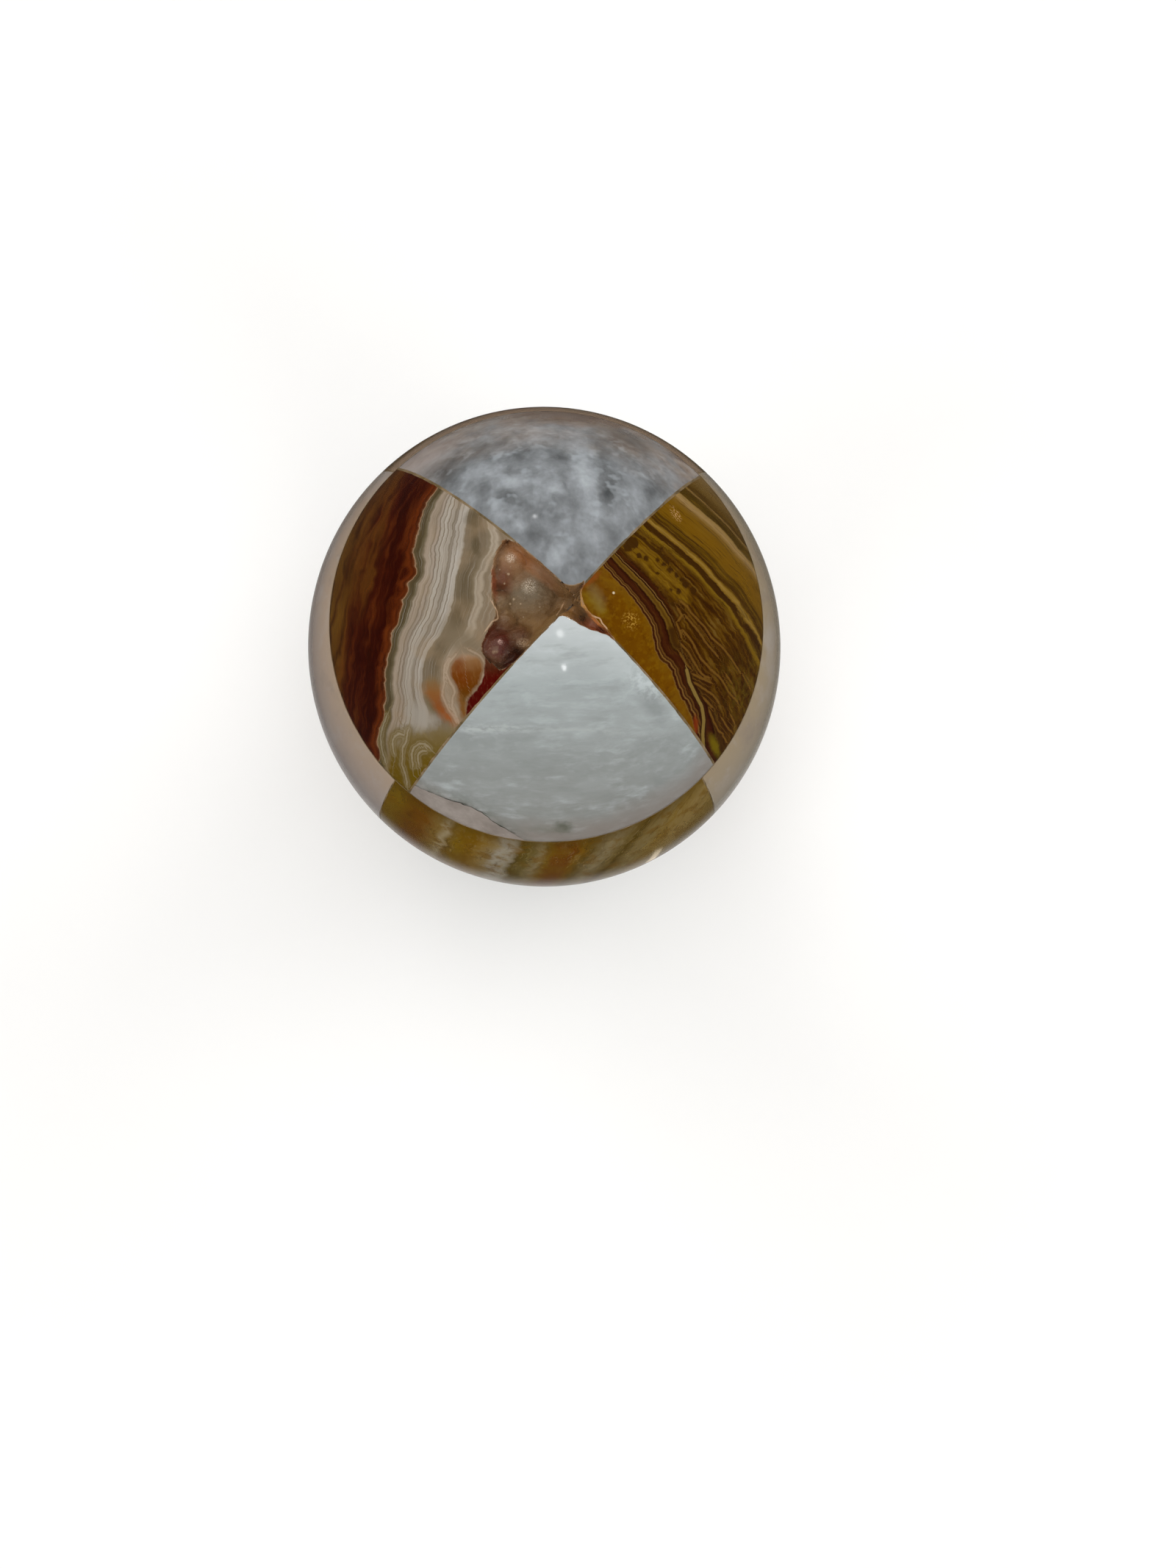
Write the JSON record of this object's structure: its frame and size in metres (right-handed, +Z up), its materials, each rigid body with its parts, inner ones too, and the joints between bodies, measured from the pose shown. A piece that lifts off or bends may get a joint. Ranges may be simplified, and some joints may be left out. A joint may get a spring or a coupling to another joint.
{
  "type": "tessellated stone egg",
  "caption": "Polished ornamental egg turned from glued onyx and marble blocks in a checkered pattern, with a resin-filled hollow at its tip and a small flat foot.",
  "frame": {"origin": "middle of the small ground flat the egg stands on, under the centre of its bounding box", "axes": "+Z up along the egg's long axis towards its pointed end, -Y towards the front block, +X to the right"},
  "size_m": [0.066, 0.066, 0.0838],
  "materials": {
    "white_onyx_crown": "polished, pale bluish white with fine wisps across it",
    "pink_grey_onyx_sliver": "polished, plain pinkish grey",
    "gold_brown_onyx_crown": "polished, amber by the tip, then brown and gold bands",
    "grey_marble_crown": "polished, mottled blue grey and white",
    "red_brown_onyx_crown": "polished, dark red brown against cream bands",
    "clear_brown_resin": "clear brown casting resin, polished flush",
    "amber_onyx_belly": "polished, amber and olive brown with cream wisps",
    "pale_onyx_belly_right": "polished, plain pinkish white",
    "dark_amber_onyx_belly": "polished, brown with darker bands",
    "pale_onyx_belly_left": "polished, plain pinkish white",
    "white_onyx_base": "polished, pale bluish white",
    "gold_brown_onyx_base": "polished, brown and gold bands",
    "grey_marble_base": "polished, mottled blue grey and white",
    "red_brown_onyx_base": "polished, red brown with cream bands",
    "tan_joint_cement": "pale tan filled adhesive, polished flush"
  },
  "bodies": {
    "root": {"crown_front": "white_onyx_crown", "crown_front_sliver": "pink_grey_onyx_sliver", "crown_right": "gold_brown_onyx_crown", "crown_back": "grey_marble_crown", "crown_left": "red_brown_onyx_crown", "crown_resin": "clear_brown_resin", "belly_front": "amber_onyx_belly", "belly_right": "pale_onyx_belly_right", "belly_back": "dark_amber_onyx_belly", "belly_left": "pale_onyx_belly_left", "base_front": "white_onyx_base", "base_right": "gold_brown_onyx_base", "base_back": "grey_marble_base", "base_left": "red_brown_onyx_base", "joint_cement": "tan_joint_cement"}
  },
  "joints": []
}
